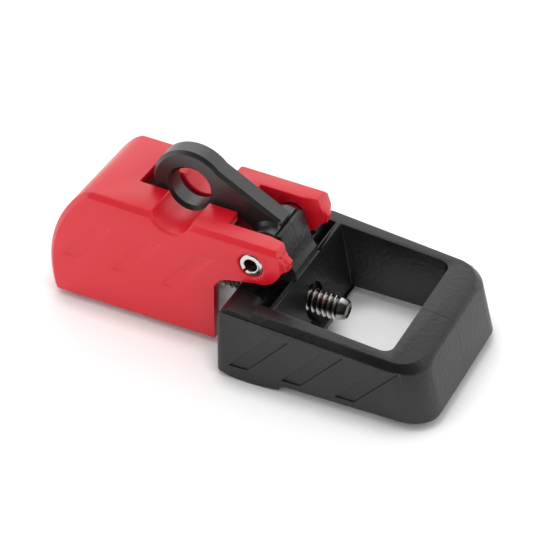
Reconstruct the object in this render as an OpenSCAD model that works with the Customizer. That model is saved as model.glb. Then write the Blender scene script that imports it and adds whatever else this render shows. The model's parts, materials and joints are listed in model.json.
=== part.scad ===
// Clamp-on lockout hasp for a wide breaker toggle.
// A ring-shaped frame drops over the toggle and a knurled thumb screw grips it.
// A hinged cover closes over the screw head, and a padlock shackle through the
// eye of the lock loop lies in the cover's trough and keeps the cover shut.
// Built around the screw: its axis is X, from the head end to the jaw, at Z 0.

/* [Frame] */
// Length of the frame at its top edge, from the head end to the jaw's outer face
frame_len = 39; // [38:0.5:50]
// Outer width at the head end
frame_w_head = 37.3; // [36:0.1:42]
// Outer width at the jaw
frame_w_jaw = 35; // [34:0.1:40]
// Top edge above the screw axis at the head end
rim_z_head = 8.5; // [8:0.1:9]
// Top edge above the screw axis at the jaw
rim_z_jaw = 5.4; // [4.5:0.1:8]
// Underside of the rails below the screw axis
rail_depth = 6.3; // [6:0.1:8]
// How far the foot under the crossbar reaches below the screw axis
foot_depth = 7.9; // [7.5:0.1:9]
// How far the jaw's outer face leans out at its foot
jaw_lean = 3.2; // [0:0.1:4]
// Thickness of the jaw at its top edge
jaw_t = 6.7; // [5:0.1:10]
// Width of the toggle window
window_w = 28.7; // [28:0.1:30]
// Crossbar thickness at the top edge
crossbar_top_t = 9.5; // [9.5:0.1:12]
// Crossbar thickness at the underside
crossbar_foot_t = 12.4; // [12:0.1:15]
// Radius of the frame's outer corners at the jaw
jaw_corner_r = 6; // [2:0.5:8]
// Radius of the frame's outer corners at the head end
head_corner_r = 0.8; // [0.5:0.1:3]
// Radius of the window's corners at the jaw
window_corner_r = 2; // [0.5:0.1:5]
// Depth of the slanted grip panels in the frame's sides
frame_panel_depth = 0.45; // [0.2:0.05:0.8]

/* [Hinge] */
// Hinge pin axis, measured from the head end
pin_x = 3.2; // [3:0.1:3.6]
// Hinge pin axis above the screw axis
pin_z = 13; // [12.6:0.1:13.6]
// Diameter of the hollow hinge pin
pin_d = 4.8; // [3:0.1:5]
// Wall of the hollow hinge pin
pin_wall = 1.1; // [0.5:0.1:1.2]
// Width of the slit in the rolled hinge pin
slit_w = 0.4; // [0.2:0.1:0.8]
// Radial running clearance of the cover's ears on the pin
ear_fit = 0.05; // [0.02:0.01:0.1]
// Radius of the lock loop's barrel round the pin
barrel_r = 3.4; // [3:0.1:3.6]
// Width of the lock loop's barrel
barrel_w = 9.4; // [8:0.1:11]

/* [Lock loop] */
// Shackle axis behind the head end
eye_x = 13.6; // [12:0.1:15]
// Shackle axis above the screw axis
eye_z = 19.1; // [18.5:0.1:20]
// Diameter of the shackle hole
eye_bore_d = 8.2; // [5:0.1:8.6]
// Outer radius of the eye
eye_r = 7.9; // [6.5:0.1:8]
// Thickness of the eye and its arm
loop_t = 4.4; // [3:0.1:5]
// Width of the arm between the barrel and the eye
arm_w = 5.8; // [4:0.1:6.5]

/* [Cover] */
// Outer width of the cover
cover_w = 22.2; // [21:0.1:24]
// Wall thickness of the cover
cover_wall = 1.9; // [1.2:0.1:2.2]
// Top face of the cover above the screw axis, at the head end of the frame
cover_top_z = 17.6; // [17.2:0.1:18.2]
// Rise of the cover's top towards its end, in degrees
cover_slope = 1.35; // [0:0.05:2]
// Open edge of the cover below the screw axis
cover_depth = 6.5; // [6:0.1:6.8]
// Radius of the cover's curved end wall
cover_end_r = 25.3; // [24:0.1:26]
// Centre of that curve behind the head end
cover_end_x = 14.5; // [14:0.1:18]
// Centre of that curve below the screw axis
cover_end_drop = 1; // [0:0.1:2]
// Chamfer along the cover's outer edges
cover_chamfer = 0.9; // [0.3:0.1:1.2]
// Thickness of the two hinge ears
ear_t = 4.5; // [2.5:0.1:4.8]
// Ear tip beyond the hinge pin
ear_reach = 5.9; // [5.4:0.1:6]
// Gap between the cover's lower end edge and the frame
cover_gap = 4.1; // [3:0.1:6]
// Clearance of the trough round a shackle that fills the eye
trough_fit = 0.25; // [0.1:0.05:0.5]
// Side clearance of the slot round the arm
slot_fit = 0.7; // [0.4:0.1:1.2]
// Depth of the slanted grip panels in the cover's sides
cover_panel_depth = 0.3; // [0.1:0.05:0.5]

/* [Thumb screw] */
// Outside diameter of the thread
thread_d = 4.83; // [4:0.01:5.2]
// Thread pitch
thread_pitch = 1.058; // [0.8:0.001:1.25]
// Length of the screw below its head
screw_len = 28; // [26:0.5:30]
// How far the tip stands beyond the head end of the frame at rest
tip_x = 18; // [15.5:0.5:18.5]
// Diameter of the knurled head
knob_d = 12.7; // [10:0.1:13]
// Height of the knurled head
knob_h = 8.6; // [6:0.1:10]
// Width of the screwdriver slot
slot_w = 1.2; // [0.8:0.1:1.6]
// Depth of the screwdriver slot
slot_depth = 1.8; // [1:0.1:2.5]
// Width across the flats of the captive nut
nut_w = 9.5; // [8.5:0.1:10]
// Thickness of the captive nut
nut_t = 3.2; // [2.5:0.1:3.4]

/* [Hidden] */
$fn = 64;
over = 1;              // how far a cutter runs past the face it opens
far = 200;             // longer than anything here

// moulded fits between pieces that do not move against each other
seat_fit = 0.05;
side_fit = 0.3;        // beside the ears

// where the screw's pieces lie
head_x = tip_x - screw_len;
thread_depth = 0.6 * thread_pitch;
spigot_d = 3.7;
spigot_fit = 0.05;
spigot_len = 6;
neck_d = 4.2;
neck_len = 2;
nose_len = 1.6;
nose_d = 4.4;
tip_d = 3.4;
screw_hole_d = thread_d + 0.5;
screw_mouth_d = thread_d + 1.8;
screw_mouth_depth = 1.4;

// the frame's outline from the side
end_foot_z = 1.2;
rim_slope = (rim_z_jaw - rim_z_head) / frame_len;
rim_drop = 0.8;
rim_step_x = 6.6;
foot_step_x = crossbar_foot_t + 0.6;
end_round = 2.4;
edge_round = 1.3;
jaw_foot_round = 0.6;
jaw_x = frame_len - jaw_t;
jaw_angle = atan(jaw_lean / (rim_z_jaw + rail_depth));
side_taper = atan((frame_w_head - frame_w_jaw) / 2 / frame_len);

// the crossbar between the rails
bar_z = 7.6;
bar_round = 2.2;
gutter_z = 4.2;
gutter_x = 6.9;
ledge_x = 8.7;
ledge_z = rim_z_head + rim_slope * ledge_x;
boss_w = 11;
boss_round = 3;
boss_gap = 0.15;
boss_x = pin_x + 1.7 + boss_gap;
boss_t = 1.4;
boss_top_z = pin_z + barrel_r - 0.2;
boss_foot_x = 9.8;
lip_w = 6;
lip_reach = 1.3;

// round hollow in the crossbar's face, where the screw comes out
hollow_d = 7.2;
hollow_x = 9.8;

// what the ears need to swing down; the step between the radii is the cover's stop
ear_sweep_r = 5.8;
nub_sweep_r = 7.35;
swing_stop_x = 3.1;

// the lock loop's tang in the crossbar
tang_x = [0.9, 4.3];
tang_w = 7.2;
tang_z = 3.6;
tang_key_d = 2.4;
tang_key_z = 6.1;

// where the hinge pin's slit faces, turned from straight up
slit_turn = 140;

// the nut lies behind the tang, in a slot that opens downwards
nut_x = 4.75;
nut_fit = 0.1;

// the cover
ear_in = cover_w / 2 - ear_t;
ear_x = pin_x + ear_reach;
cover_end = -cover_end_x - cover_end_r;
inner_bevel = 0.4;
end_bevel_extra = 0.15;
slot_half = loop_t / 2 + slot_fit;
slot_end_gap = 2.2;
slot_end_x = -eye_x - eye_r - slot_end_gap;
mouth_x = -3.4;
mouth_flare = 0.8;
trough_at = [-eye_x, eye_z] + [0.35, 0.2];
trough_r = eye_bore_d / 2 + trough_fit;
trough_wall = 1.4;
ear_round_r = 4.55;
ear_round_at = [pin_x + 1.4, pin_z + 0.9];
ear_slant = 1.1;
relief_fillet = 3;
relief_top_z = pin_z - 4.9;
nub_reach = 1;
nub_y = [ear_in + mouth_flare + 0.85, ear_in + mouth_flare + 1.95];

// slanted grip panels, shared by the frame and the cover
panel_lean = 8;
panel_pitch = 10.5;
panel_w = 3.7;
frame_panel_h = 9.2;
frame_panel_x = 2.5;
frame_panel_z = -4.9;
cover_panel_h = 9.6;
cover_panel_x = -37;
cover_panel_z = 2.1;

// the row frame: centred over the part's footprint, on the surface it lies on
bottom_z = -foot_depth;
mid_x = (cover_end + frame_len + jaw_lean) / 2;

// points along an arc, from angle a0 to a1
function arc(c, r, a0, a1, n = 8) =
    [for (i = [0:n]) c + r * [cos(a0 + (a1 - a0) * i / n), sin(a0 + (a1 - a0) * i / n)]];

function rim_z(x) = rim_z_head + rim_slope * x;

module place() translate([-mid_x, 0, -bottom_z]) children();

// a side outline, drawn as [x, z], stretched across the part from y = -w / 2 to w / 2
module across(w) rotate([90, 0, 0]) translate([0, 0, -w / 2]) linear_extrude(w) children();

// a rod along X, from x0 to x1
module rod_x(d, x0, x1) translate([x0, 0, 0]) rotate([0, 90, 0]) cylinder(d = d, h = x1 - x0);

// a rod along Y through [x, z]
module rod_y(x, z, d, w) translate([x, 0, z]) rotate([90, 0, 0]) cylinder(d = d, h = w, center = true);

// one slanted panel outline, standing on its lower left corner
module panel_outline(h) polygon([[0, 0], [panel_w, 0], [panel_w + panel_lean, h], [panel_lean, h]]);

// ---------- clamp frame ----------

module frame_side_outline() {
    foot_top = -rail_depth;
    end_z = rim_z_head - rim_drop;
    polygon(concat(
        [[0, end_foot_z - foot_depth]],
        arc([end_round, end_z - end_round], end_round, 180, 95, 8),
        [[rim_step_x - 0.2, rim_z(rim_step_x) - rim_drop]],
        [[rim_step_x, rim_z(rim_step_x)]],
        [[frame_len - edge_round, rim_z(frame_len - edge_round)]],
        arc(jaw_edge_centre(rim_z_jaw - edge_round, edge_round), edge_round, 80, jaw_angle, 5),
        arc(jaw_edge_centre(foot_top + jaw_foot_round, jaw_foot_round), jaw_foot_round, jaw_angle, -90, 6),
        [[foot_step_x, foot_top]],
        [[foot_step_x - 0.5, -foot_depth + 0.5]],
        [[foot_step_x - 3.4, -foot_depth + 0.1]],
        [[foot_step_x - 6.6, -foot_depth]],
        [[foot_step_x - 10.3, -foot_depth + 0.35]]
    ));
}

// centre of a rounding at the top or foot of the jaw's outer face
function jaw_edge_centre(z, r) =
    [frame_len + jaw_lean - tan(jaw_angle) * (z + rail_depth) - r / cos(jaw_angle), z];

function frame_half_w(x) = (frame_w_head - (frame_w_head - frame_w_jaw) * x / frame_len) / 2;

module frame_plan_outline() {
    x1 = frame_len + jaw_lean + over;
    wh = frame_half_w(0);
    polygon(concat(
        arc([head_corner_r, wh - head_corner_r], head_corner_r, 180, 90, 6),
        [[x1, frame_half_w(x1)]],
        [[x1, -frame_half_w(x1)]],
        arc([head_corner_r, head_corner_r - wh], head_corner_r, -90, -180, 6)
    ));
}

module frame_blank() {
    difference() {
        intersection() {
            across(far) frame_side_outline();
            translate([0, 0, -far / 2]) linear_extrude(far) frame_plan_outline();
        }
        for (side = [-1, 1]) jaw_corner_cutter(side);
    }
}

// rounds one outer corner of the jaw, touching both its leaning face and the tapering side
module jaw_corner_cutter(side) {
    r = jaw_corner_r;
    x = frame_len + jaw_lean;
    tilt = atan(tan(jaw_angle) / cos(side_taper));
    turn = asin(sin(side_taper) * cos(jaw_angle));
    centre = [-r * (1 - sin(turn)) / cos(turn), -side * r];
    translate([x, side * frame_half_w(x), -rail_depth]) rotate([0, -tilt, -side * side_taper])
        difference() {
            translate([0, 0, -far / 4]) linear_extrude(far / 2) polygon([
                centre,
                centre + [0, side * (r + over)],
                centre + [r + over, side * (r + over)],
                centre + (r + over) * [cos(turn), side * sin(turn)]
            ]);
            translate(centre) cylinder(r = r, h = far, center = true);
        }
}

// the toggle window, with a leaning face on the crossbar's side
module window_cutter() {
    lean = (crossbar_foot_t - crossbar_top_t) / (rim_z_head + rail_depth);
    low = -foot_depth - over;
    high = rim_z_head + over;
    face_low = crossbar_foot_t - lean * (low + rail_depth);
    face_high = crossbar_foot_t - lean * (high + rail_depth);
    intersection() {
        across(window_w) polygon([[face_low, low], [jaw_x, low], [jaw_x, high], [face_high, high]]);
        translate([0, 0, -far / 2]) linear_extrude(far) window_plan_outline();
    }
}

module window_plan_outline() {
    r = window_corner_r;
    w = window_w / 2;
    polygon(concat(
        [[0, -w]],
        arc([jaw_x - r, r - w], r, -90, 0, 8),
        arc([jaw_x - r, w - r], r, 0, 90, 8),
        [[0, w]]
    ));
}

// the space above the crossbar, between the rails: rounded shoulder, gutter, stop ledge
module bar_top_cutter() {
    top = rim_z_head + far / 4;
    across(window_w) polygon(concat(
        [[-over, top]],
        [[-over, bar_z - bar_round]],
        [[0, bar_z - bar_round]],
        arc([bar_round, bar_z - bar_round], bar_round, 180, 90, 6),
        [[3.4, bar_z]],
        arc([3.4, gutter_z], bar_z - gutter_z, 75, 10, 6),
        [[gutter_x + 0.3, gutter_z]],
        [[ledge_x, gutter_z]],
        [[ledge_x, ledge_z]],
        [[crossbar_foot_t + over, ledge_z]],
        [[crossbar_foot_t + over, top]]
    ));
}

// room for the ears and their nubs to swing down beside the boss
module ear_swing_cutter() {
    inner = boss_w / 2 + 0.1;
    outer = cover_w / 2 + side_fit;
    for (side = [-1, 1]) {
        translate([0, side * (inner + outer) / 2, 0]) {
            rod_y(pin_x, pin_z, 2 * ear_sweep_r, outer - inner);
            intersection() {
                rod_y(pin_x, pin_z, 2 * nub_sweep_r, outer - inner);
                translate([swing_stop_x, -far / 2, 0]) cube(far);
            }
        }
    }
}

// the raised boss that backs the lock loop and curves down to the screw
module boss() {
    intersection() {
        union() {
            across(boss_w) polygon(concat(
                [[over, -rail_depth]],
                [[over, bar_z - over]],
                arc([bar_round + over, bar_z - bar_round], bar_round, 150, 90, 4),
                [[boss_x + 2.5, bar_z]],
                [[crossbar_top_t, bar_z]],
                [[crossbar_top_t, -rail_depth]]
            ));
            across(barrel_w) polygon(concat(
                [[boss_x, -rail_depth]],
                arc([boss_x + 0.3, boss_top_z - 0.3], 0.3, 180, 90, 3),
                arc([boss_x + boss_t - 0.5, boss_top_z - 0.5], 0.5, 90, 20, 4),
                [[boss_x + boss_t + 1.4, pin_z - 1.2]],
                arc([boss_x + boss_t + 5.4, pin_z - 0.9], 3.9, 200, 228, 4),
                [[boss_foot_x, 6.6]],
                [[crossbar_top_t, -rail_depth]]
            ));
        }
        // its front edges are rounded
        translate([0, 0, -far / 2]) linear_extrude(far) boss_plan_outline();
    }
    screw_lip();
}

module boss_plan_outline() {
    half = boss_w / 2;
    front = crossbar_foot_t;
    polygon(concat(
        [[0, -half]],
        arc([front - boss_round, boss_round - half], boss_round, -90, -20, 6),
        arc([front - boss_round, half - boss_round], boss_round, 20, 90, 6),
        [[0, half]]
    ));
}

// the lip under the screw, on the window's side of the crossbar
module screw_lip() {
    root = crossbar_top_t;
    across(lip_w) polygon([
        [root, -rail_depth],
        [root, -screw_hole_d / 2],
        [crossbar_foot_t - 1, -screw_hole_d / 2],
        [crossbar_foot_t + lip_reach, -rail_depth + 1.5],
        [crossbar_foot_t + lip_reach, -rail_depth]
    ]);
}

module frame_panels() {
    for (side = [-1, 1], i = [0:2]) {
        translate([frame_panel_x + i * panel_pitch, 0, frame_panel_z])
            frame_panel_cutter(side, frame_panel_x + i * panel_pitch);
    }
}

// one panel pocket, sunk square to the frame's tapering side
module frame_panel_cutter(side, x) {
    translate([0, side * frame_half_w(x), 0]) rotate([0, 0, -side * side_taper])
        translate([0, -side * frame_panel_depth, 0]) rotate([90, 0, 0])
            translate([0, 0, side > 0 ? -over : 0]) linear_extrude(over) panel_outline(frame_panel_h);
}

module clamp_frame() color([0.16, 0.16, 0.17]) {
    difference() {
        union() {
            difference() {
                frame_blank();
                window_cutter();
                bar_top_cutter();
            }
            boss();
        }
        ear_swing_cutter();
        // saddle for the lock loop's barrel
        rod_y(pin_x, pin_z, 2 * (barrel_r + seat_fit), boss_w);
        // screw hole, its wide mouth and the slot that the nut slides up
        rod_x(screw_hole_d, -over, crossbar_foot_t + over);
        rod_x(screw_mouth_d, -over, screw_mouth_depth);
        rod_x(hollow_d, hollow_x, crossbar_foot_t + over);
        nut_slot();
        // pocket for the tang, with the frame's own key left standing in it
        difference() {
            tang(seat_fit);
            rod_y((tang_x[0] + tang_x[1]) / 2, tang_key_z, tang_key_d - 2 * seat_fit, far);
        }
        // shallow core-out in the end face, under the screw
        translate([-over, -7.5, -5.6]) cube([over + 3, 15, 1.5]);
        frame_panels();
    }
}

module nut_slot() {
    half = nut_w / 2 + nut_fit;
    translate([nut_x - nut_fit, -half, -foot_depth - over])
        cube([nut_t + 2 * nut_fit, 2 * half, foot_depth + over + half]);
}

// ---------- lock loop ----------

module tang(grow = 0) {
    translate([tang_x[0] - grow, -tang_w / 2 - grow, tang_z - grow])
        cube([tang_x[1] - tang_x[0] + 2 * grow, tang_w + 2 * grow, pin_z - tang_z - barrel_r / 2 + grow]);
}

module lock_loop() color([0.13, 0.13, 0.14]) {
    eye = [-eye_x, eye_z];
    pin = [pin_x, pin_z];
    dir = (eye - pin) / norm(eye - pin);
    up = [dir[1], -dir[0]];
    back_x = boss_x - boss_gap;
    high = eye_r - 0.3;
    shift = pin_z + barrel_r - 0.2;
    difference() {
        union() {
            // eye and arm
            across(loop_t) {
                translate(eye) circle(eye_r);
                polygon([
                    eye + up * high,
                    eye + up * (high - arm_w),
                    pin + up * -1.4,
                    [back_x, shift - 2.5],
                    [back_x, shift + 1],
                    [back_x - 0.4, shift + 1.4]
                ]);
            }
            // barrel, squared off where it backs on to the frame's boss
            rod_y(pin_x, pin_z, 2 * barrel_r, barrel_w);
            across(barrel_w) polygon([
                [pin_x, pin_z - barrel_r],
                [back_x, pin_z - barrel_r],
                [back_x, shift],
                [pin_x, shift]
            ]);
            tang();
        }
        rod_y(-eye_x, eye_z, eye_bore_d, far);
        rod_y(pin_x, pin_z, pin_d, far);
        rod_y((tang_x[0] + tang_x[1]) / 2, tang_key_z, tang_key_d, far);
    }
}

// ---------- small steel pieces ----------

module captive_nut() color([0.62, 0.63, 0.65]) {
    difference() {
        translate([nut_x, -nut_w / 2, -nut_w / 2]) cube([nut_t, nut_w, nut_w]);
        rod_x(thread_d + 0.1, nut_x - over, nut_x + nut_t + over);
    }
}

module hinge_pin() color([0.78, 0.79, 0.80]) {
    len = cover_w - 0.3;
    r = pin_d / 2;
    bevel = 0.25;
    translate([pin_x, 0, pin_z]) rotate([90, 0, 0]) difference() {
        rotate_extrude() polygon([
            [r - pin_wall, -len / 2],
            [r - bevel, -len / 2],
            [r, bevel - len / 2],
            [r, len / 2 - bevel],
            [r - bevel, len / 2],
            [r - pin_wall, len / 2]
        ]);
        rotate(slit_turn) translate([-slit_w / 2, 0, -len]) cube([slit_w, pin_d, 2 * len]);
    }
}

module screw_shank() color([0.80, 0.81, 0.82]) {
    r = thread_d / 2;
    core = r - thread_depth;
    turns = floor((screw_len - nose_len - neck_len - 0.4) / thread_pitch);
    translate([head_x, 0, 0]) rotate([0, 90, 0]) rotate_extrude() polygon(concat(
        [[0, -spigot_len]],
        [[spigot_d / 2, -spigot_len]],
        [[spigot_d / 2, 0]],
        [[neck_d / 2, 0]],
        [[neck_d / 2, neck_len]],
        [[core, neck_len + 0.4]],
        [for (i = [turns:-1:1], edge = [0:2]) thread_point(core, r, i, edge)],
        [[nose_d / 2, screw_len - nose_len + 0.15]],
        [[tip_d / 2, screw_len]],
        [[0, screw_len]]
    ));
}

// crest and root of the thread, turn by turn back from the tip
function thread_point(core, r, i, edge) =
    let (x = screw_len - nose_len - (i - 0.5) * thread_pitch)
    edge == 0 ? [r, x - 0.06 * thread_pitch] :
    edge == 1 ? [r, x + 0.06 * thread_pitch] :
    [core, x + 0.5 * thread_pitch];

module screw_head() color([0.75, 0.76, 0.77]) {
    r = knob_d / 2;
    bevel = 0.7;
    translate([head_x, 0, 0]) rotate([0, -90, 0]) difference() {
        rotate_extrude() polygon([
            [0, 0],
            [r - bevel, 0],
            [r, bevel],
            [r, knob_h - bevel],
            [r - bevel, knob_h],
            [0, knob_h]
        ]);
        translate([0, 0, -over]) cylinder(d = spigot_d + 2 * spigot_fit, h = spigot_len + over + 0.1);
        translate([-r - over, -slot_w / 2, knob_h - slot_depth])
            cube([knob_d + 2 * over, slot_w, slot_depth + over]);
    }
}

// ---------- cover ----------

// outer or inner form of the cover: curved end and sloping top, sized in by t
module cover_form(t, bevel) {
    half = cover_w / 2 - t;
    r = cover_end_r - t;
    end_bevel = bevel + end_bevel_extra;
    low = t > 0 ? -cover_depth - over : -cover_depth;
    intersection() {
        // top with bevelled long edges
        translate([0, 0, cover_top_z - t]) rotate([0, cover_slope, 0]) rotate([90, 0, 90])
            translate([0, 0, -far / 2]) linear_extrude(far) polygon([
                [-half, -far],
                [half, -far],
                [half, -bevel],
                [half - bevel, 0],
                [bevel - half, 0],
                [-half, -bevel]
            ]);
        union() {
            translate([-cover_end_x, 0, -cover_end_drop]) rotate([90, 0, 0])
                rotate_extrude($fn = 128) polygon([
                    [0, -half],
                    [r - end_bevel, -half],
                    [r, end_bevel - half],
                    [r, half - end_bevel],
                    [r - end_bevel, half],
                    [0, half]
                ]);
            translate([-cover_end_x, -half, -cover_end_r]) cube([cover_end_x + ear_x, 2 * half, far]);
        }
        translate([-far / 2, -half, low]) cube([far, 2 * half, far]);
    }
}

// side view of what lies beyond the cover's lower end edge: everything but the ears
module ear_relief_outline() {
    inner_x = -cover_gap;
    high = cover_top_z + over;
    polygon(concat(
        [[inner_x, -cover_depth - over]],
        arc([inner_x + relief_fillet, relief_top_z - relief_fillet], relief_fillet, 180, 100, 8),
        arc(ear_round_at, ear_round_r, -95, 5, 10),
        [[ear_x - ear_slant, cover_top_z]],
        [[ear_x - ear_slant, high]],
        [[ear_x + far / 10, high]],
        [[ear_x + far / 10, -cover_depth - over]]
    ));
}

// small stepped nubs on the end of each ear
module ear_nubs() {
    back = ear_x - 0.8;
    for (side = [-1, 1]) {
        translate([0, side * nub_y[0], 0]) across(1.5) polygon([
            [back, pin_z - 1.4],
            [ear_x + nub_reach - 0.2, pin_z - 0.4],
            [ear_x + nub_reach, pin_z + 1.3],
            [back, pin_z + 2.8]
        ]);
        translate([0, side * nub_y[1], 0]) across(0.8) polygon([
            [back, pin_z - 1.2],
            [ear_x + nub_reach / 2, pin_z - 0.3],
            [ear_x + nub_reach / 2, pin_z + 1.2],
            [back, pin_z + 2.3]
        ]);
    }
}

// plan of the wide mouth round the barrel, flaring a little at the ears' ends
module mouth_plan_outline() {
    flare_x = ear_x - 4;
    polygon([
        [mouth_x, -ear_in],
        [flare_x, -ear_in],
        [ear_x, -ear_in - mouth_flare],
        [far, -ear_in - mouth_flare],
        [far, ear_in + mouth_flare],
        [ear_x, ear_in + mouth_flare],
        [flare_x, ear_in],
        [mouth_x, ear_in]
    ]);
}

module cover() color([0.80, 0.10, 0.14]) {
    difference() {
        union() {
            difference() {
                cover_form(0, cover_chamfer);
                cover_form(cover_wall, inner_bevel);
            }
            // ears, as thick as the hinge needs
            for (side = [-1, 1]) {
                intersection() {
                    cover_form(0, cover_chamfer);
                    translate([mouth_x, side > 0 ? ear_in : -cover_w / 2, -cover_depth])
                        cube([far, ear_t, far]);
                }
            }
            // wall under the shackle trough
            intersection() {
                cover_form(cover_wall / 2, inner_bevel);
                rod_y(trough_at[0], trough_at[1], 2 * (trough_r + trough_wall), far);
            }
        }
        across(far) ear_relief_outline();
        rod_y(trough_at[0], trough_at[1], 2 * trough_r, far);
        // slot for the eye and arm, and the mouth round the barrel
        translate([slot_end_x, -slot_half, pin_z - 1]) cube([far, 2 * slot_half, far]);
        translate([0, 0, -far / 2]) linear_extrude(far) mouth_plan_outline();
        rod_y(pin_x, pin_z, pin_d + 2 * ear_fit, far);
        cover_panels();
    }
    ear_nubs();
}

module cover_panels() {
    for (side = [-1, 1], i = [0:2]) {
        translate([cover_panel_x + i * panel_pitch, side * (cover_w / 2 - cover_panel_depth), cover_panel_z])
            rotate([90, 0, 0]) translate([0, 0, side > 0 ? -over : 0])
                linear_extrude(over) panel_outline(cover_panel_h);
    }
}

place() clamp_frame();
place() lock_loop();
place() captive_nut();
place() hinge_pin();
place() cover();
place() screw_shank();
place() screw_head();
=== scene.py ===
import itertools
import json
import math

import bmesh
import bpy
from mathutils import Matrix, Vector


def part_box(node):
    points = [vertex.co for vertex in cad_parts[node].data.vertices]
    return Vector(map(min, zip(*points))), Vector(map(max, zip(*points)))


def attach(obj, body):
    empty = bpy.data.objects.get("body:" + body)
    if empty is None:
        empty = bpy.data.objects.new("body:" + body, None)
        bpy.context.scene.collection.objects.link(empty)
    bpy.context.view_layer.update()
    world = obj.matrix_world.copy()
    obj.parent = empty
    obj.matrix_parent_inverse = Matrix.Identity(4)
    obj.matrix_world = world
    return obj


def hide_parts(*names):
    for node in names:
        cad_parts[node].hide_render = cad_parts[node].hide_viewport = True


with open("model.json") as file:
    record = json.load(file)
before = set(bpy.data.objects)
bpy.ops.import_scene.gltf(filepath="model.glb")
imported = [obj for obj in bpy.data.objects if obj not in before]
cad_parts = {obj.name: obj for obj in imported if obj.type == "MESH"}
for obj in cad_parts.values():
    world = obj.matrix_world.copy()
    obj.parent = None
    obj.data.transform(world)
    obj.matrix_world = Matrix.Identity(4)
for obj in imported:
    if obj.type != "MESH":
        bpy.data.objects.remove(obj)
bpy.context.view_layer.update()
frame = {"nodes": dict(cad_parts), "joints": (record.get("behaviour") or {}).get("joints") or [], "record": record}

MM = 0.001

# Camera: its place, the point it looks at and its lens
CAMERA_AT = Vector((138.97, -287.38, 261.31)) * MM
CAMERA_LOOKS_AT = Vector((-0.1, 0, 12.4)) * MM
CAMERA_ROLL = math.radians(0.34)
CAMERA_LENS = 146.6

# Joints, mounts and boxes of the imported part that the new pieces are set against
JOINTS = {joint["name"]: joint for joint in frame["joints"]}
MOUNTS = {mount["name"]: mount for mount in frame["record"]["mounts"]}
PIN_AXIS = Vector(JOINTS["cover_hinge"]["pos_m"])
SCREW_AXIS = Vector(JOINTS["screw_turn"]["pos_m"])
EYE_AXIS = Vector(MOUNTS["shackle_hole"]["pos_m"])
HEAD_LOW, HEAD_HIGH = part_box("screw_head")
SHANK_LOW, SHANK_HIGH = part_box("screw_shank")
COVER_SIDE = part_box("cover")[1].y

# Hinge pin, and the widths in mm of its rounded outer and inner rims
PIN_R = 2.4 * MM
PIN_BORE_R = 1.3 * MM
PIN_RIM = 0.3
PIN_BORE_RIM = 0.12

# Studio: the level of its even light and of what shiny faces reflect, the side left dark, how much
# the open floor is lifted towards white, how wide a gap stays dark, and the lamp behind
SOFT_LIGHT = 0.87
REFLECTED_LIGHT = 1.15
DARK_SIDE = Vector((0.3, -0.72, 0.62))
FLOOR_LIFT = 0.35
FLOOR_GAP = 7 * MM
SOFTBOX_AT = (-0.3, 0.6, 0.55)
SOFTBOX_SIZE = 0.6
SOFTBOX_POWER = 0.6

# Screw thread, neck, spigot inside the head, and tapered nose
THREAD_PITCH = 1.058 * MM
THREAD_R = 4.83 / 2 * MM
THREAD_ROOT_R = 1.78 * MM
NECK_R = 2.1 * MM
NECK_LENGTH = 2 * MM
SPIGOT_R = 1.85 * MM
SPIGOT_LENGTH = 6 * MM
NOSE_LENGTH = 1.6 * MM
NOSE_R = 2.2 * MM
TIP_R = 1.7 * MM

# Knurled head
KNURL_STARTS = 36
KNURL_DEPTH = 0.36 * MM
KNURL_ROW = 0.92 * MM
HEAD_R = 6.35 * MM
SLOT_WIDTH = 1.2 * MM
SLOT_DEPTH = 1.8 * MM

# Rounding of the cover's corner between its top and its curved end
COVER_ROUND_R = 5 * MM
COVER_ROUND_CENTRE = Vector((-30.2, 0, 21.2)) * MM
COVER_CORNER_TURN = 45
CORNER_CUTS = 5

# Chamfer along the frame's sloping rim and round the jaw's corners
RIM_CHAMFER = 1 * MM
RIM_SLOPE = math.atan(3.1 / 39)
RIM_NORMAL = Vector((math.sin(RIM_SLOPE), 0, math.cos(RIM_SLOPE)))
RIM_END_X = 37.8 * MM
RIM_HEIGHT = 13.3 * MM
JAW_CORNER = Vector((31.72, 11.4, 0)) * MM
JAW_CORNER_R = 6.05 * MM
RIM_CHAMFER_TURNS = [math.radians(turn) for turn in (88.3, 75, 60, 45, 30, 15)]

# Grip pockets in the cover's sides: their depth, the width of their sloping walls, and the area of
# each pocket's floor in square mm, by which it is known
POCKET_DEPTH = 0.3 * MM
POCKET_SLOPE = 0.5 * MM
POCKET_AREA = 35.5

# Edges sharper than the first angle are rounded, faces that meet flatter than the second are shaded
# as one, and sharp edges that part at less than the third are left sharp
SOFT_ANGLE = math.radians(28)
SMOOTH_ANGLE = math.radians(32)
NARROW_ANGLE = math.radians(24)

# Points this close to a cutting plane count as on it
ON_PLANE = 1e-7

# Widths of rounded edges in mm: the scale of the bevel weights, an ordinary broken edge, the ends of
# the cover's trough, the edge round its pin holes, and the lock loop's bevel
WIDEST_EDGE = 2
BROKEN_EDGE = 0.2
TROUGH_EDGE = 0.6
PIN_HOLE_EDGE = 0.35
LOOP_BEVEL = 0.65

# Where those edges are, in mm: how far from the axis of the pin or the eye, how far in from the
# cover's side, and half the thickness of the lock loop's plate
PIN_HOLE_REACH = 2.8
TROUGH_REACH = 5.2
TROUGH_LIP = 0.95
LOOP_HALF = 2.2


# ---------- modelling helpers ----------

def deselect():
    if bpy.context.object and bpy.context.object.mode != "OBJECT":
        bpy.ops.object.mode_set(mode="OBJECT")
    bpy.ops.object.select_all(action="DESELECT")


def pick(piece):
    deselect()
    bpy.context.view_layer.objects.active = piece
    piece.select_set(True)


def edit(piece):
    pick(piece)
    bpy.ops.object.mode_set(mode="EDIT")
    bpy.ops.mesh.select_all(action="SELECT")


def leave_edit():
    bpy.ops.object.mode_set(mode="OBJECT")


def apply_modifiers(piece):
    pick(piece)
    for modifier in list(piece.modifiers):
        bpy.ops.object.modifier_apply(modifier=modifier.name)


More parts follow.
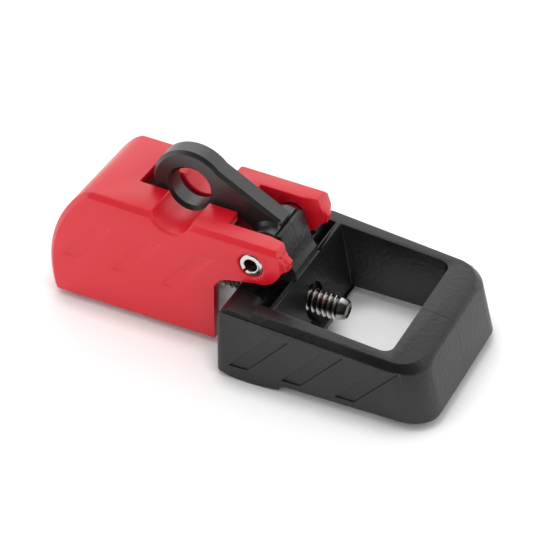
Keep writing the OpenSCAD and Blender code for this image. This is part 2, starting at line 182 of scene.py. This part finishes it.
def settle(piece):
    """Puts the piece's place into its mesh and leaves the object at the origin."""
    pick(piece)
    bpy.ops.object.transform_apply(location=True, rotation=True, scale=True)


def smooth(piece, angle=SMOOTH_ANGLE):
    pick(piece)
    bpy.ops.object.shade_smooth_by_angle(angle=angle)


def copy_of(node, name, merge=0.03 * MM):
    """A merged copy of a CAD node's mesh, with its flat faces joined up."""
    deselect()
    piece = bpy.data.objects.new(name, frame["nodes"][node].data.copy())
    bpy.context.scene.collection.objects.link(piece)
    piece.data.materials.clear()
    pick(piece)
    bpy.ops.mesh.customdata_custom_splitnormals_clear()
    edit(piece)
    bpy.ops.mesh.remove_doubles(threshold=merge)
    bpy.ops.mesh.dissolve_limited(angle_limit=math.radians(0.5), delimit=set())
    leave_edit()
    return piece


def round_edges(piece, width_at, segments=3, angle=SOFT_ANGLE):
    """Bevels the piece's sharp edges, each to the width in mm that width_at gives for its place."""
    work = bmesh.new()
    work.from_mesh(piece.data)
    weight = work.edges.layers.float.new("bevel_weight_edge")
    for edge in work.edges:
        if len(edge.link_faces) != 2 or edge.calc_face_angle(0) < angle:
            continue
        middle = (edge.verts[0].co + edge.verts[1].co) / 2 / MM
        one, two = (face.normal for face in edge.link_faces)
        edge[weight] = width_at(middle, one, two) / WIDEST_EDGE
    # two sharp edges that part at a narrow angle would push the bevel far out, so they stay sharp
    for vertex in work.verts:
        sharp = [edge for edge in vertex.link_edges if edge[weight] > 0]
        for first, second in itertools.combinations(sharp, 2):
            way = [edge.other_vert(vertex).co - vertex.co for edge in (first, second)]
            if way[0].angle(way[1]) < NARROW_ANGLE:
                first[weight] = second[weight] = 0
    work.to_mesh(piece.data)
    work.free()
    bevel = piece.modifiers.new("rounding", "BEVEL")
    bevel.limit_method = "WEIGHT"
    bevel.width = WIDEST_EDGE * MM
    bevel.segments = segments
    bevel.use_clamp_overlap = False
    bevel.loop_slide = True
    apply_modifiers(piece)


def reach_from(axis, at):
    """How far a point in mm lies from an axis that runs across the part."""
    return math.hypot(at.x - axis.x / MM, at.z - axis.z / MM)


def plane_off(piece, at, normal):
    """Takes off what stands beyond a plane and closes the cut."""
    edit(piece)
    bpy.ops.mesh.bisect(
        plane_co=at, plane_no=normal, use_fill=True, clear_outer=True, threshold=ON_PLANE)
    leave_edit()


def slope_pockets(piece):
    """Gives the shallow grip pockets in the cover's sides sloping walls in place of upright ones."""
    floor_y = COVER_SIDE - POCKET_DEPTH
    floors = [
        face.index for face in piece.data.polygons
        if abs(face.normal.y) > 0.99 and abs(abs(face.center.y) - floor_y) < 0.02 * MM
        and abs(face.area / (MM * MM) - POCKET_AREA) < 3]
    for index in floors:
        edit(piece)
        bpy.ops.mesh.select_all(action="DESELECT")
        leave_edit()
        face = piece.data.polygons[index]
        face.select = True
        out = face.normal * POCKET_DEPTH
        bpy.ops.object.mode_set(mode="EDIT")
        bpy.context.tool_settings.mesh_select_mode = (False, False, True)
        bpy.ops.transform.translate(value=out)
        bpy.ops.mesh.inset(thickness=POCKET_SLOPE, depth=-POCKET_DEPTH)
        leave_edit()
    edit(piece)
    bpy.ops.mesh.remove_doubles(threshold=0.02 * MM)
    leave_edit()


def profile(name, points):
    """An open line through the points, drawn by extruding one vertex."""
    deselect()
    bpy.ops.mesh.primitive_plane_add(size=MM, location=points[0])
    piece = bpy.context.object
    piece.name = name
    edit(piece)
    bpy.ops.mesh.merge(type="CENTER")
    for here, there in zip(points, points[1:]):
        step = Vector(there) - Vector(here)
        bpy.ops.mesh.extrude_vertices_move(TRANSFORM_OT_translate={"value": step})
    leave_edit()
    settle(piece)
    return piece


def turned(name, points, steps=64):
    """A solid turned round the screw's axis from (x, radius) points."""
    line = [(x, SCREW_AXIS.y, SCREW_AXIS.z + r) for x, r in points]
    piece = profile(name, line)
    edit(piece)
    bpy.ops.mesh.spin(steps=steps, angle=math.tau, center=SCREW_AXIS, axis=(1, 0, 0))
    bpy.ops.mesh.select_all(action="SELECT")
    bpy.ops.mesh.remove_doubles(threshold=0.002 * MM)
    bpy.ops.mesh.normals_make_consistent(inside=False)
    leave_edit()
    return piece


def combine(piece, other, how):
    """Joins, cuts or trims a piece with another solid, which is then deleted."""
    boolean = piece.modifiers.new(how, "BOOLEAN")
    boolean.operation = how
    boolean.object = other
    boolean.solver = "MANIFOLD"
    apply_modifiers(piece)
    bpy.data.objects.remove(other)


# ---------- camera, light and floor ----------

def add_camera():
    camera = bpy.data.objects.new("camera", bpy.data.cameras.new("camera"))
    bpy.context.scene.collection.objects.link(camera)
    camera.data.lens = CAMERA_LENS
    camera.data.sensor_width = 36
    camera.data.clip_start = 0.01
    camera.data.clip_end = 10
    aim = (CAMERA_LOOKS_AT - CAMERA_AT).to_track_quat("-Z", "Y").to_matrix()
    roll = Matrix.Rotation(CAMERA_ROLL, 3, "Z")
    camera.matrix_world = Matrix.Translation(CAMERA_AT) @ (aim @ roll).to_4x4()
    bpy.context.scene.camera = camera


def looked_at(tree, *kinds):
    """1 for a ray from the camera or through glass, or of one of the kinds named, else 0."""
    rays = add_node(tree, "LightPath")
    seen = rays.outputs["Is Camera Ray"]
    for kind in ("Is Transmission Ray", *kinds):
        either = add_node(tree, "Math", {0: seen, 1: rays.outputs[kind]}, operation="MAXIMUM")
        seen = either.outputs["Value"]
    return seen


def add_world():
    """White studio: even soft light, whose reflections fade out on the side the part is seen from."""
    world = bpy.data.worlds.new("studio")
    bpy.context.scene.world = world
    world.use_nodes = True
    tree = world.node_tree
    tree.nodes.clear()
    place = add_node(tree, "TexCoord")
    facing = add_node(tree, "VectorMath", {
        0: place.outputs["Generated"], 1: DARK_SIDE.normalized()}, operation="DOT_PRODUCT")
    reflected = add_node(tree, "MapRange", {
        "Value": facing.outputs["Value"], "From Min": 0.3, "From Max": 0.72,
        "To Min": REFLECTED_LIGHT, "To Max": 0.05}, interpolation_type="SMOOTHSTEP")
    rays = add_node(tree, "LightPath")
    strength = add_node(tree, "Mix", {
        0: rays.outputs["Is Glossy Ray"], 2: SOFT_LIGHT, 3: reflected.outputs["Result"]})
    light = add_node(tree, "Background", {"Strength": strength.outputs[0]})
    backdrop = add_node(tree, "Background", {"Color": (1, 1, 1, 1), "Strength": 1})
    light.inputs["Color"].default_value = (1, 1, 1, 1)
    mix = add_node(tree, "MixShader", {
        0: looked_at(tree), 1: light.outputs["Background"], 2: backdrop.outputs["Background"]})
    add_node(tree, "OutputWorld", {"Surface": mix.outputs["Shader"]})


def add_floor():
    deselect()
    bpy.ops.mesh.primitive_plane_add(size=4, location=(0, 0, 0))
    floor = bpy.context.object
    floor.name = "floor"
    paint, tree, shader = new_material("white_floor")
    shader.inputs["Base Color"].default_value = (0.93, 0.93, 0.93, 1)
    shader.inputs["Roughness"].default_value = 0.9
    shader.inputs["Specular IOR Level"].default_value = 0
    # open floor looks lifted towards white, also in reflections; narrow gaps are left dark
    openness = add_node(tree, "AmbientOcclusion", {"Distance": FLOOR_GAP}, samples=16)
    lift = add_node(tree, "MapRange", {
        "Value": openness.outputs["AO"], "From Min": 0.55, "From Max": 0.85, "To Max": FLOOR_LIFT})
    glow = add_node(tree, "Math", {
        0: lift.outputs["Result"], 1: looked_at(tree, "Is Glossy Ray")}, operation="MULTIPLY")
    shader.inputs["Emission Color"].default_value = (1, 1, 1, 1)
    tree.links.new(glow.outputs["Value"], shader.inputs["Emission Strength"])
    floor.data.materials.append(paint)


def add_softbox():
    lamp = bpy.data.lights.new("back_softbox", "AREA")
    lamp.shape = "RECTANGLE"
    lamp.size = SOFTBOX_SIZE
    lamp.size_y = SOFTBOX_SIZE
    lamp.energy = SOFTBOX_POWER
    box = bpy.data.objects.new("back_softbox", lamp)
    bpy.context.scene.collection.objects.link(box)
    box.location = SOFTBOX_AT
    box.rotation_euler = (-Vector(SOFTBOX_AT)).to_track_quat("-Z", "Y").to_euler()


# ---------- materials ----------

def add_node(tree, kind, inputs=None, **settings):
    """A shader node with its settings; each input takes a value or a socket to link from."""
    made = tree.nodes.new("ShaderNode" + kind)
    for name, value in settings.items():
        setattr(made, name, value)
    for name, value in (inputs or {}).items():
        if isinstance(value, bpy.types.NodeSocket):
            tree.links.new(value, made.inputs[name])
        else:
            made.inputs[name].default_value = value
    return made


def new_group(name, inputs, outputs):
    """A node group with float inputs and outputs, and its own input and output nodes."""
    group = bpy.data.node_groups.new(name, "ShaderNodeTree")
    for label, value in inputs.items():
        socket = group.interface.new_socket(label, in_out="INPUT", socket_type="NodeSocketFloat")
        socket.default_value = value
    for label in outputs:
        group.interface.new_socket(label, in_out="OUTPUT", socket_type="NodeSocketFloat")
    return group, group.nodes.new("NodeGroupInput"), group.nodes.new("NodeGroupOutput")


def make_grain_group():
    """Fine grain of a moulded surface, and the slow change of tone over it."""
    group, given, result = new_group("moulded_grain", {"Grain Scale": 2200}, ["Height", "Tone"])
    place = add_node(group, "TexCoord")
    fine = add_node(group, "TexNoise", {
        "Vector": place.outputs["Object"], "Scale": given.outputs["Grain Scale"],
        "Detail": 4, "Roughness": 0.6})
    broad = add_node(group, "TexNoise", {
        "Vector": place.outputs["Object"], "Scale": 70, "Detail": 3, "Roughness": 0.5})
    tone = add_node(group, "MapRange", {"Value": broad.outputs["Fac"], "From Min": 0.3, "From Max": 0.7})
    group.links.new(fine.outputs["Fac"], result.inputs["Height"])
    group.links.new(tone.outputs["Result"], result.inputs["Tone"])
    return group


def make_line_group():
    """Fine ridge along the mid-plane, where the two halves of the mould met."""
    group, given, result = new_group("mould_line", {"Half Width": 0.16 * MM}, ["Height"])
    place = add_node(group, "TexCoord")
    parts = add_node(group, "SeparateXYZ", {"Vector": place.outputs["Object"]})
    away = add_node(group, "Math", {0: parts.outputs["Y"]}, operation="ABSOLUTE")
    ridge = add_node(group, "MapRange", {
        "Value": away.outputs["Value"], "From Max": given.outputs["Half Width"],
        "To Min": 1, "To Max": 0}, interpolation_type="SMOOTHSTEP")
    group.links.new(ridge.outputs["Result"], result.inputs["Height"])
    return group


def make_edge_highlight_group():
    """Mask of edges where a highlight is painted paler into the colour, broken up by a speckle."""
    group, given, result = new_group("painted_edge_highlight", {"Amount": 0.5}, ["Edge"])
    turned_normal = add_node(group, "Bevel", {"Radius": 0.35 * MM}, samples=4)
    surface = add_node(group, "NewGeometry")
    agree = add_node(group, "VectorMath", {
        0: turned_normal.outputs["Normal"], 1: surface.outputs["Normal"]}, operation="DOT_PRODUCT")
    # painted highlight: where the rounded normal parts from the surface's own, the edge is marked for a paler
    # colour
    edge = add_node(group, "MapRange", {
        "Value": agree.outputs["Value"], "From Min": 0.995, "From Max": 0.9})
    place = add_node(group, "TexCoord")
    speckle = add_node(group, "TexNoise", {
        "Vector": place.outputs["Object"], "Scale": 700, "Detail": 3})
    patchy = add_node(group, "MapRange", {
        "Value": speckle.outputs["Fac"], "From Min": 0.35, "From Max": 0.65})
    speckled_highlight = add_node(group, "Math", {
        0: edge.outputs["Result"], 1: patchy.outputs["Result"]}, operation="MULTIPLY")
    scaled = add_node(group, "Math", {
        0: speckled_highlight.outputs["Value"], 1: given.outputs["Amount"]}, operation="MULTIPLY")
    group.links.new(scaled.outputs["Value"], result.inputs["Edge"])
    return group


def make_tooling_group():
    """Fine rings that a cutting tool leaves round the screw's axis."""
    group, given, result = new_group("tool_rings", {"Rings": 9000}, ["Height"])
    place = add_node(group, "TexCoord")
    stretch = add_node(group, "CombineXYZ", {"X": given.outputs["Rings"], "Y": 150, "Z": 150})
    along = add_node(group, "VectorMath", {
        0: place.outputs["Object"], 1: stretch.outputs["Vector"]}, operation="MULTIPLY")
    rings = add_node(group, "TexNoise", {"Vector": along.outputs["Vector"], "Scale": 1, "Detail": 2})
    group.links.new(rings.outputs["Fac"], result.inputs["Height"])
    return group


def make_groove_shade_group():
    """Mask that is 0 at the bottom of the grooves round the screw's axis and 1 on their crests; it places shade
    painted into the grooves.
    """
    group, given, result = new_group("painted_groove_shade", {"Root": 0.001, "Crest": 0.002}, ["Crest Mask"])
    place = add_node(group, "TexCoord")
    centred = add_node(group, "VectorMath", {
        0: place.outputs["Object"], 1: SCREW_AXIS}, operation="SUBTRACT")
    radial = add_node(group, "VectorMath", {
        0: centred.outputs["Vector"], 1: (0, 1, 1)}, operation="MULTIPLY")
    reach = add_node(group, "VectorMath", {0: radial.outputs["Vector"]}, operation="LENGTH")
    mask = add_node(group, "MapRange", {
        "Value": reach.outputs["Value"], "From Min": given.outputs["Root"],
        "From Max": given.outputs["Crest"]})
    group.links.new(mask.outputs["Result"], result.inputs["Crest Mask"])
    return group


def place_group(tree, group, **values):
    placed = tree.nodes.new("ShaderNodeGroup")
    placed.node_tree = group
    for name, value in values.items():
        placed.inputs[name.replace("_", " ")].default_value = value
    return placed


def new_material(name):
    material = bpy.data.materials.new(name)
    material.use_nodes = True
    return material, material.node_tree, material.node_tree.nodes["Principled BSDF"]


def moulded_plastic(name, colour, tone_and_highlight_colour, roughness, sheen, grain_scale, grain_height, edge_highlight_amount,
                    mould_line=0):
    """Moulded plastic or coating: fine grain, a slow random tone, a highlight painted paler along the edges and,
    if asked, a mould line.
    """
    material, tree, shader = new_material(name)
    shader.inputs["Specular IOR Level"].default_value = sheen
    grain = place_group(tree, grain_group, Grain_Scale=grain_scale)
    edges = place_group(tree, edge_highlight_group, Amount=edge_highlight_amount)
    tone = add_node(tree, "Math", {0: grain.outputs["Tone"], 1: 0.3}, operation="MULTIPLY")
    fade = add_node(tree, "Math", {0: tone.outputs["Value"], 1: edges.outputs["Edge"]}, operation="ADD")
    fade.use_clamp = True
    # the paler second colour is mixed in by the random tone and by the highlight painted along the edges
    paint = add_node(tree, "Mix", {
        0: fade.outputs["Value"], 6: (*colour, 1), 7: (*tone_and_highlight_colour, 1)}, data_type="RGBA")
    gloss = add_node(tree, "MapRange", {
        "Value": grain.outputs["Tone"], "To Min": roughness - 0.04, "To Max": roughness + 0.05})
    relief = add_node(tree, "Bump", {
        "Height": grain.outputs["Height"], "Strength": 1, "Distance": grain_height})
    if mould_line:
        line = place_group(tree, line_group)
        relief = add_node(tree, "Bump", {
            "Height": line.outputs["Height"], "Normal": relief.outputs["Normal"],
            "Strength": 1, "Distance": mould_line})
    tree.links.new(paint.outputs[2], shader.inputs["Base Color"])
    tree.links.new(gloss.outputs["Result"], shader.inputs["Roughness"])
    tree.links.new(relief.outputs["Normal"], shader.inputs["Normal"])
    return material


def machined_steel(name, bright, dark, roughness, root, crest):
    """Bright turned steel, with shade painted darker at the bottom of its grooves."""
    material, tree, shader = new_material(name)
    shader.inputs["Metallic"].default_value = 1
    rings = place_group(tree, tooling_group)
    grooves = place_group(tree, groove_shade_group, Root=root, Crest=crest)
    # painted shade: the dark colour fills the bottom of the grooves, where shade falls, and the bright one their
    # crests
    paint = add_node(tree, "Mix", {
        0: grooves.outputs["Crest Mask"], 6: (*dark, 1), 7: (*bright, 1)}, data_type="RGBA")
    gloss = add_node(tree, "MapRange", {
        "Value": rings.outputs["Height"], "From Min": 0.3, "From Max": 0.7,
        "To Min": roughness - 0.06, "To Max": roughness + 0.08})
    relief = add_node(tree, "Bump", {
        "Height": rings.outputs["Height"], "Strength": 1, "Distance": 0.006 * MM})
    tree.links.new(paint.outputs[2], shader.inputs["Base Color"])
    tree.links.new(gloss.outputs["Result"], shader.inputs["Roughness"])
    tree.links.new(relief.outputs["Normal"], shader.inputs["Normal"])
    return material


grain_group = make_grain_group()
line_group = make_line_group()
edge_highlight_group = make_edge_highlight_group()
tooling_group = make_tooling_group()
groove_shade_group = make_groove_shade_group()

# In each plastic the second, paler colour stands both for random tone and for a highlight painted along the edges.
cover_red = moulded_plastic(
    "cover_red", colour=(0.80, 0.003, 0.018), tone_and_highlight_colour=(0.88, 0.016, 0.036),
    roughness=0.34, sheen=0.66, grain_scale=1800, grain_height=0.04 * MM, edge_highlight_amount=0.3)
frame_black = moulded_plastic(
    "frame_black", colour=(0.005, 0.005, 0.0055), tone_and_highlight_colour=(0.05, 0.05, 0.052),
    roughness=0.38, sheen=0.46, grain_scale=1100, grain_height=0.12 * MM, edge_highlight_amount=0.4,
    mould_line=0.06 * MM)
loop_black = moulded_plastic(
    "loop_black", colour=(0.008, 0.008, 0.0085), tone_and_highlight_colour=(0.09, 0.09, 0.09),
    roughness=0.33, sheen=0.85, grain_scale=1200, grain_height=0.03 * MM, edge_highlight_amount=0.6)
# In each steel the second colour is shade painted into the grooves; for the pin and the nut the mask stays near 0,
# so they take that colour nearly all over.
thread_steel = machined_steel(
    "thread_steel", (0.72, 0.71, 0.69), (0.16, 0.155, 0.15), 0.2, THREAD_ROOT_R, THREAD_R)
knurl_steel = machined_steel(
    "knurl_steel", (0.74, 0.73, 0.71), (0.2, 0.195, 0.19), 0.26, HEAD_R - KNURL_DEPTH, HEAD_R)
pin_steel = machined_steel(
    "pin_steel", (0.70, 0.69, 0.67), (0.66, 0.65, 0.63), 0.2, 0, 1)
nut_steel = machined_steel(
    "nut_steel", (0.66, 0.63, 0.55), (0.6, 0.57, 0.5), 0.32, 0, 1)


# ---------- pieces ----------

def finish_piece(piece, material, body, slot, *nodes):
    piece.data.materials.clear()
    piece.data.materials.append(material)
    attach(piece, body)
    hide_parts(*nodes)


def make_threaded_shank():
    """Thread with a real helix, plain neck, spigot and tapered nose."""
    start = SCREW_AXIS.x + NECK_LENGTH
    tip = SHANK_HIGH.x
    z = SCREW_AXIS.z
    turns = math.ceil((tip - start) / THREAD_PITCH) + 4
    x = start - 2.3 * THREAD_PITCH
    flank = 0.42 * THREAD_PITCH
    crest = 0.1 * THREAD_PITCH
    piece = profile("threaded_shank", [
        (x, 0, THREAD_ROOT_R),
        (x + flank, 0, THREAD_R),
        (x + flank + crest, 0, THREAD_R),
        (x + 2 * flank + crest, 0, THREAD_ROOT_R),
        (x + THREAD_PITCH, 0, THREAD_ROOT_R),
    ])
    screw = piece.modifiers.new("helix", "SCREW")
    screw.axis = "X"
    screw.angle = math.tau
    screw.screw_offset = THREAD_PITCH
    screw.iterations = turns
    screw.steps = 40
    screw.render_steps = 40
    screw.use_merge_vertices = True
    screw.merge_threshold = 0.002 * MM
    apply_modifiers(piece)
    edit(piece)
    bpy.ops.transform.translate(value=(0, 0, z))
    bpy.ops.mesh.remove_doubles(threshold=0.002 * MM)
    bpy.ops.mesh.bisect(
        plane_co=(start, 0, z), plane_no=(1, 0, 0), use_fill=True, clear_inner=True, threshold=ON_PLANE)
    bpy.ops.mesh.select_all(action="SELECT")
    bpy.ops.mesh.bisect(
        plane_co=(tip - NOSE_LENGTH / 2, 0, z), plane_no=(1, 0, 0),
        use_fill=True, clear_outer=True, threshold=ON_PLANE)
    bpy.ops.mesh.select_all(action="SELECT")
    bpy.ops.mesh.normals_make_consistent(inside=False)
    leave_edit()
    # the thread runs out in a cone at the neck and at the nose
    clear = 0.1 * MM
    runout = 0.5 * MM
    trim = turned("trim", [
        (start - MM, 0),
        (start - MM, THREAD_ROOT_R),
        (start, THREAD_ROOT_R + clear),
        (start + 0.7 * MM, THREAD_R + clear),
        (tip - NOSE_LENGTH - runout, THREAD_R + clear),
        (tip - NOSE_LENGTH + runout, THREAD_ROOT_R),
        (tip, THREAD_ROOT_R),
        (tip, 0),
    ])
    combine(piece, trim, "INTERSECT")
    core = turned("core", [
        (SHANK_LOW.x, 0),
        (SHANK_LOW.x, SPIGOT_R),
        (SCREW_AXIS.x, SPIGOT_R),
        (SCREW_AXIS.x, NECK_R),
        (start - clear, NECK_R),
        (start + 0.3 * MM, THREAD_ROOT_R - 0.05 * MM),
        (tip - NOSE_LENGTH - 0.2 * MM, THREAD_ROOT_R - 0.05 * MM),
        (tip - NOSE_LENGTH, NOSE_R),
        (tip - NOSE_LENGTH + 0.3 * MM, NOSE_R),
        (tip - 0.25 * MM, TIP_R + 0.1 * MM),
        (tip - 0.07 * MM, TIP_R),
        (tip, TIP_R - 0.2 * MM),
        (tip - 0.25 * MM, TIP_R - 0.5 * MM),
        (tip - 0.3 * MM, 0),
    ])
    combine(piece, core, "UNION")
    smooth(piece)
    finish_piece(piece, thread_steel, "screw", "bright_steel", "screw_shank")


def make_knurled_head():
    """Diamond-knurled head with a screwdriver slot across its end."""
    low = HEAD_LOW.x
    high = HEAD_HIGH.x
    rows = math.ceil((high - low) / KNURL_ROW) + 2
    deselect()
    bpy.ops.mesh.primitive_circle_add(
        vertices=2 * KNURL_STARTS, radius=HEAD_R, fill_type="NOTHING",
        location=(low - KNURL_ROW / 2, SCREW_AXIS.y, SCREW_AXIS.z), rotation=(0, math.pi / 2, 0))
    piece = bpy.context.object
    piece.name = "knurled_head"
    settle(piece)
    edit(piece)
    bpy.ops.mesh.edge_face_add()
    for row in range(rows):
        bpy.ops.mesh.extrude_region_move(TRANSFORM_OT_translate={"value": (KNURL_ROW, 0, 0)})
    # every second point of the lattice is pressed in, so that the diamonds stand out
    leave_edit()
    bpy.context.tool_settings.mesh_select_mode = (True, False, False)
    half_step = math.tau / (2 * KNURL_STARTS)
    for v in piece.data.vertices:
        column = round(math.atan2(v.co.y, v.co.z - SCREW_AXIS.z) / half_step)
        row = round((v.co.x - low) / KNURL_ROW + 0.5)
        v.select = (column + row) % 2 == 0
    bpy.ops.object.mode_set(mode="EDIT")
    inward = 1 - KNURL_DEPTH / HEAD_R
    bpy.ops.transform.resize(value=(1, inward, inward), center_override=SCREW_AXIS)
    bpy.ops.mesh.select_all(action="SELECT")
    bpy.ops.mesh.quads_convert_to_tris(quad_method="SHORTEST_DIAGONAL", ngon_method="BEAUTY")
    bpy.ops.mesh.normals_make_consistent(inside=False)
    leave_edit()
    bore = SPIGOT_R + 0.05 * MM
    trim = turned("trim", [
        (low, 0),
        (low, HEAD_R - 1.1 * MM),
        (low + 0.15 * MM, HEAD_R - 0.75 * MM),
        (low + 0.8 * MM, HEAD_R - 0.1 * MM),
        (low + 1.2 * MM, HEAD_R + 0.1 * MM),
        (high - 0.9 * MM, HEAD_R + 0.1 * MM),
        (high - 0.1 * MM, HEAD_R - 0.7 * MM),
        (high, HEAD_R - 1 * MM),
        (high, bore),
        (high - SPIGOT_LENGTH - 0.1 * MM, bore),
        (high - SPIGOT_LENGTH - 0.1 * MM, 0),
    ], steps=144)
    deselect()
    bpy.ops.mesh.primitive_cube_add(
        size=1, location=(low, 0, SCREW_AXIS.z), scale=(2 * SLOT_DEPTH, SLOT_WIDTH, 3 * HEAD_R))
    slot = bpy.context.object
    settle(slot)
    combine(trim, slot, "DIFFERENCE")
    combine(piece, trim, "INTERSECT")
    smooth(piece, math.radians(20))
    finish_piece(piece, knurl_steel, "knob", "bright_steel", "screw_head")


def make_cover_shell():
    """Cover with a rounded end corner, soft pockets, eased trough ends and broken edges."""
    piece = copy_of("cover", "cover_shell")
    for step in range(1, CORNER_CUTS + 1):
        turn = math.radians(COVER_CORNER_TURN * step / (CORNER_CUTS + 1))
        normal = Vector((-math.sin(turn), 0, math.cos(turn)))
        plane_off(piece, COVER_ROUND_CENTRE + COVER_ROUND_R * normal, normal)
    slope_pockets(piece)
    lip = COVER_SIDE / MM - TROUGH_LIP

    def width_at(at, one, two):
        if reach_from(PIN_AXIS, at) < PIN_HOLE_REACH:
            return PIN_HOLE_EDGE
        at_trough = abs(at.y) > lip and reach_from(EYE_AXIS, at) < TROUGH_REACH
        if at_trough and min(abs(one.y), abs(two.y)) < 0.3:
            return TROUGH_EDGE
        return BROKEN_EDGE

    round_edges(piece, width_at)
    smooth(piece)
    finish_piece(piece, cover_red, "cover", "cover_plastic", "cover")


def make_frame_body():
    """Clamp frame with a chamfered outer rim and broken edges."""
    piece = copy_of("clamp_frame", "frame_body")
    for side in (1, -1):
        for turn in RIM_CHAMFER_TURNS:
            out = Vector((math.cos(turn), side * math.sin(turn), 0))
            normal = (out + RIM_NORMAL).normalized()
            edge = Vector((JAW_CORNER.x, side * JAW_CORNER.y, 0)) + JAW_CORNER_R * out
            edge.z = RIM_HEIGHT - (edge.x - RIM_END_X) * RIM_NORMAL.x / RIM_NORMAL.z
            plane_off(piece, edge - normal * RIM_CHAMFER / math.sqrt(2), normal)
    round_edges(piece, lambda at, one, two: BROKEN_EDGE, segments=2)
    smooth(piece)
    finish_piece(piece, frame_black, "root", "frame_plastic", "clamp_frame")


def make_loop_plate():
    """Lock loop with a flat bevel along both faces of its plate."""
    piece = copy_of("lock_loop", "loop_plate")

    def width_at(at, one, two):
        on_plate = abs(abs(at.y) - LOOP_HALF) < 0.02 and max(abs(one.y), abs(two.y)) > 0.99
        return LOOP_BEVEL if on_plate else BROKEN_EDGE

    round_edges(piece, width_at, segments=1)
    smooth(piece)
    finish_piece(piece, loop_black, "root", "coated_steel", "lock_loop")


def make_pin_tube():
    """Rolled hinge pin with rounded rims."""
    piece = copy_of("hinge_pin", "pin_tube")
    middle = (PIN_R + PIN_BORE_R) / 2 / MM

    def width_at(at, one, two):
        return PIN_RIM if reach_from(PIN_AXIS, at) > middle else PIN_BORE_RIM

    round_edges(piece, width_at)
    smooth(piece)
    finish_piece(piece, pin_steel, "root", "bright_steel", "hinge_pin")


add_camera()
make_threaded_shank()
make_knurled_head()
make_cover_shell()
make_frame_body()
make_loop_plate()
make_pin_tube()
nut = frame["nodes"]["captive_nut"]
nut.data.materials.clear()
nut.data.materials.append(nut_steel)
add_world()
add_floor()
add_softbox()
bpy.context.scene.view_settings.view_transform = "Standard"
